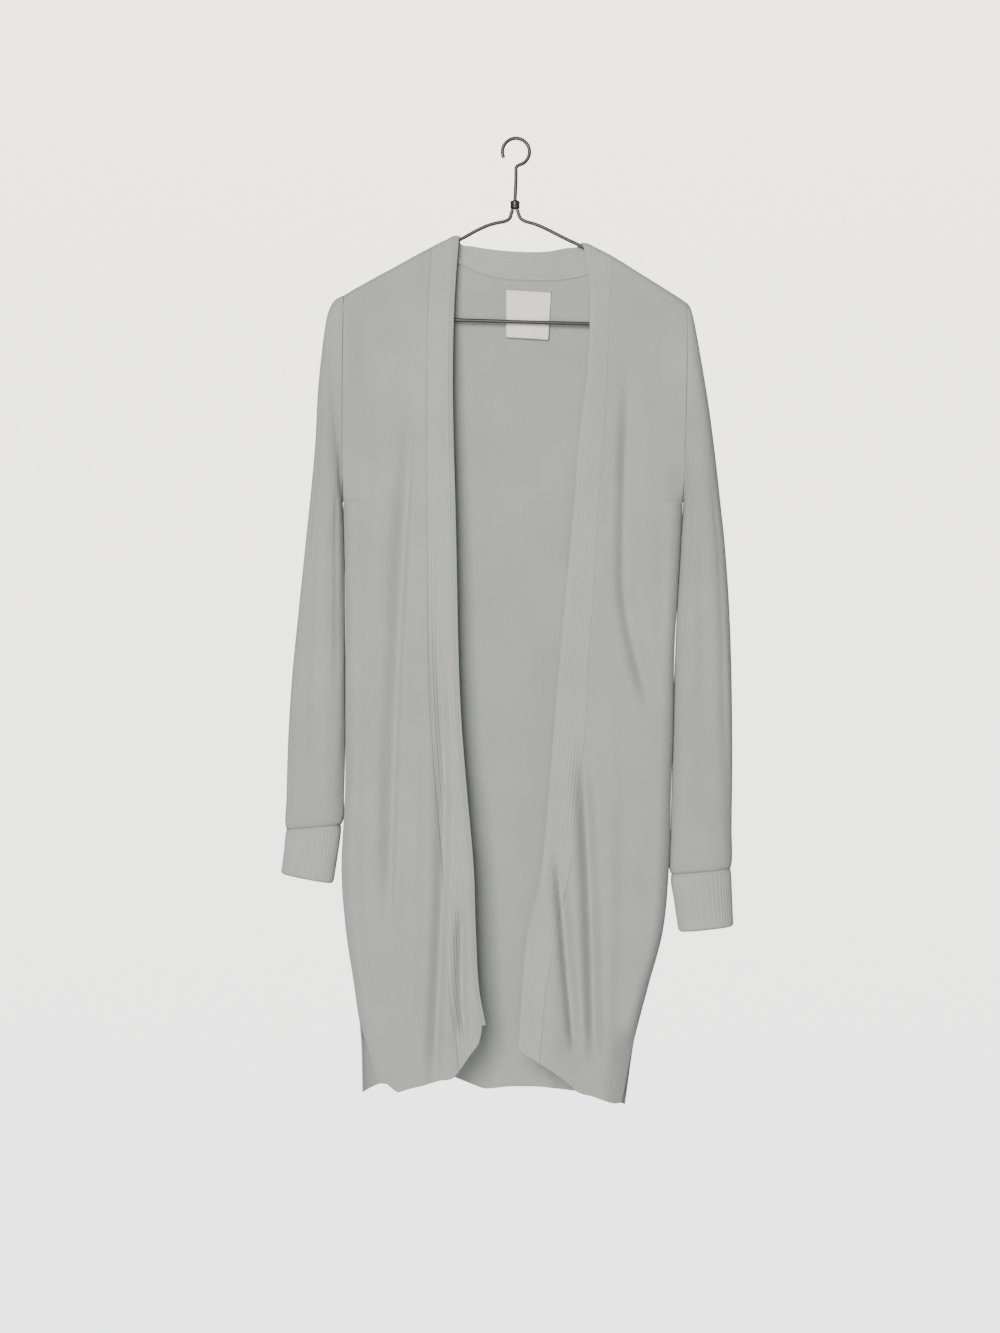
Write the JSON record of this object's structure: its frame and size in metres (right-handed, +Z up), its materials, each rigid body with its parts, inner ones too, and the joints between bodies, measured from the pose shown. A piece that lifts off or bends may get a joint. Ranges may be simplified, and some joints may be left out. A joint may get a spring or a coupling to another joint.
{
  "type": "duster cardigan on wire hanger",
  "caption": "Long open-front duster cardigan in grey fine-gauge knit, hung flat by its shoulders on a dark wire hanger with a round hook.",
  "frame": {"origin": "where the inside of the hook bears on its rail, on the hook's centre line", "axes": "+Z up; -Y faces the viewer, out of the garment's front; +X to the viewer's right, across the shoulders"},
  "size_m": [0.4967, 0.0669, 1.066],
  "materials": {
    "knit": "matt fine-gauge knit, light sage grey",
    "rib": "matt rib and linked bands, light sage grey",
    "label": "blank woven label, off-white",
    "wire": "dark coated steel wire, satin"
  },
  "bodies": {
    "root": {"back": "knit", "front_left": "knit", "front_right": "knit", "sleeve_left": "knit", "sleeve_right": "knit", "band_left": "rib", "band_right": "rib", "neck_band": "rib", "cuff_left": "rib", "cuff_right": "rib", "neck_label": "label", "hanger_wire": "wire", "hanger_hook": "wire", "hanger_bead": "wire"}
  },
  "joints": []
}
